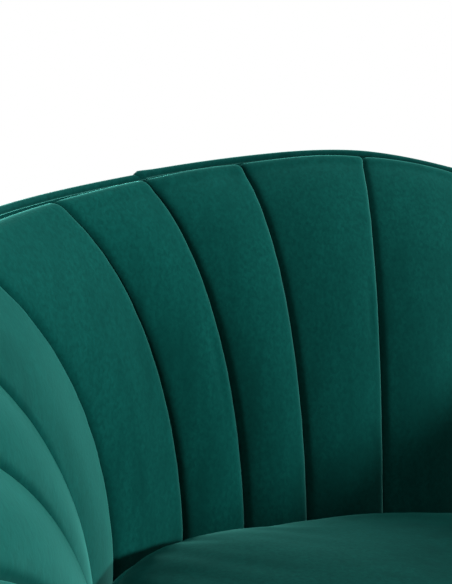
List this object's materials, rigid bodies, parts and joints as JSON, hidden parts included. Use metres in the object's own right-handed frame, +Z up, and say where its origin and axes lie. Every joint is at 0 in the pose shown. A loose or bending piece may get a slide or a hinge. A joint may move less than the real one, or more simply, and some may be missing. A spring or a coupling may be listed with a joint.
{
  "type": "tub chair",
  "caption": "Low tub chair with a fan of sewn velvet channels inside its round back and arms, a piped rim, a loose seat cushion and splayed wooden legs.",
  "frame": {"origin": "on the floor under the middle of the chair's box", "axes": "+X across the chair to the right as seen from the front, +Y to the back, +Z up"},
  "size_m": [0.7326, 0.6, 0.7571],
  "materials": {
    "velvet": "short-pile velvet",
    "piping": "velvet piping",
    "frame_wood": "planed softwood and plywood",
    "board": "fibreboard",
    "webbing": "woven elastic",
    "deck_cloth": "woven lining",
    "dust_cloth": "spunbonded cloth",
    "leg_wood": "dark satin lacquer",
    "steel": "zinc plated",
    "glide": "matt",
    "zip_tape": "woven tape",
    "zip_metal": "satin"
  },
  "bodies": {
    "frame": {"arm_facing_left": "velvet", "arm_facing_right": "velvet", "arm_front_panel_left": "velvet", "arm_front_panel_right": "velvet", "arm_post_left": "frame_wood", "arm_post_right": "frame_wood", "base_rail_back": "frame_wood", "base_rail_front": "frame_wood", "base_rail_left": "frame_wood", "base_rail_right": "frame_wood", "channel_1_left": "velvet", "channel_1_right": "velvet", "channel_2_left": "velvet", "channel_2_right": "velvet", "channel_3_left": "velvet", "channel_3_right": "velvet", "channel_4_left": "velvet", "channel_4_right": "velvet", "channel_5_left": "velvet", "channel_5_right": "velvet", "channel_6_left": "velvet", "channel_6_right": "velvet", "channel_7_left": "velvet", "channel_7_right": "velvet", "corner_blocks": "frame_wood", "deck_pad": "deck_cloth", "dust_cover": "dust_cloth", "front_border": "velvet", "glides": "glide", "inner_arm_board_left": "board", "inner_arm_board_right": "board", "inner_back_board": "board", "leg_back_left": "leg_wood", "leg_back_right": "leg_wood", "leg_bolts": "steel", "leg_front_left": "leg_wood", "leg_front_right": "leg_wood", "leg_plates": "steel", "outer_arm_cover_left": "velvet", "outer_arm_cover_right": "velvet", "outer_back_cover": "velvet", "plate_screws": "steel", "rib_1_left": "frame_wood", "rib_1_right": "frame_wood", "rib_2_left": "frame_wood", "rib_2_right": "frame_wood", "rib_3_left": "frame_wood", "rib_3_right": "frame_wood", "rim_piping": "piping", "seat_ring": "frame_wood", "seat_webbing": "webbing", "top_rail_back": "frame_wood", "top_rail_left": "frame_wood", "top_rail_right": "frame_wood"},
    "cushion": {"seat_cushion": "velvet", "cushion_zip": "zip_tape"},
    "zip_pull": {"zip_slider": "zip_metal"}
  },
  "joints": [
    {"name": "cushion_lift", "type": "slide", "parent": "frame", "child": "cushion", "axis": [0, 0, 1], "range_m": [0, 0.46]},
    {"name": "zip_run", "type": "slide", "parent": "cushion", "child": "zip_pull", "axis": [-1, 0, 0], "range_m": [0, 0.205]}
  ]
}
